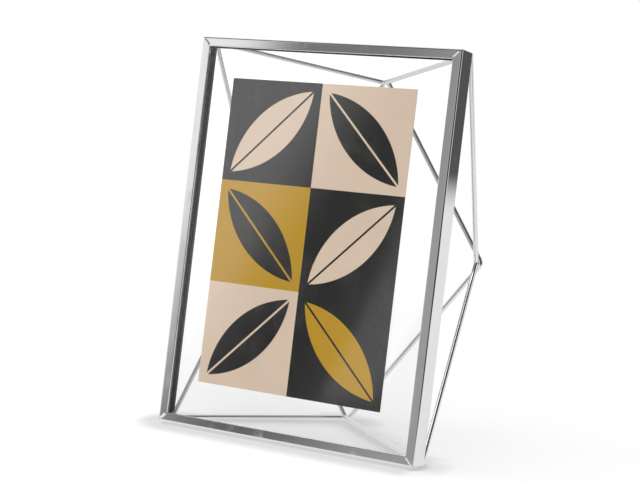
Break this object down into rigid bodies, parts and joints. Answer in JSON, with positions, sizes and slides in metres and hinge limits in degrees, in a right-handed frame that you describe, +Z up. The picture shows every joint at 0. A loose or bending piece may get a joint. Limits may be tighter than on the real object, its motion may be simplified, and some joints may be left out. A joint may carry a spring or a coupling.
{
  "type": "photo frame",
  "caption": "Mitred metal photo frame holding a print between two sliding glass panes, propped up by a cage of bent wire behind it.",
  "frame": {"origin": "middle of the bottom of the bounding box, on the table that the frame stands on", "axes": "+Z up, +X to the right and +Y to the back, seen from the front"},
  "size_m": [0.1424, 0.096, 0.1939],
  "materials": {
    "polished_metal": "bright plated, mirror polish",
    "bright_steel": "mill finish",
    "clear_glass": "clear float glass, ground edges",
    "print_paper": "satin photographic print",
    "black_rubber": "matt black"
  },
  "bodies": {
    "frame": {"rail_top": "polished_metal", "rail_right": "polished_metal", "rail_bottom": "polished_metal", "rail_left": "polished_metal", "edge_trim_top": "black_rubber", "edge_trim_right": "black_rubber", "edge_trim_left": "black_rubber", "corner_key_top_left": "bright_steel", "corner_key_top_right": "bright_steel", "corner_key_bottom_right": "bright_steel", "corner_key_bottom_left": "bright_steel", "cage_wire_top": "polished_metal", "cage_wire_right": "polished_metal", "cage_wire_bottom": "polished_metal", "cage_wire_left": "polished_metal", "cage_diamond": "polished_metal"},
    "front_pane": {"front_glass": "clear_glass"},
    "rear_pane": {"rear_glass": "clear_glass"},
    "print": {"photo_print": "print_paper"}
  },
  "joints": [
    {"name": "front_glass_slide", "type": "slide", "parent": "frame", "child": "front_pane", "axis": [0, 0.1368, 0.9906], "range_m": [0, 0.19]},
    {"name": "rear_glass_slide", "type": "slide", "parent": "frame", "child": "rear_pane", "axis": [0, 0.1368, 0.9906], "range_m": [0, 0.19]},
    {"name": "print_slide", "type": "slide", "parent": "frame", "child": "print", "axis": [0, 0.1368, 0.9906], "range_m": [0, 0.19]}
  ],
  "couplings": [
    {"joint": "print_slide", "follows": "rear_glass_slide", "ratio": 1}
  ]
}
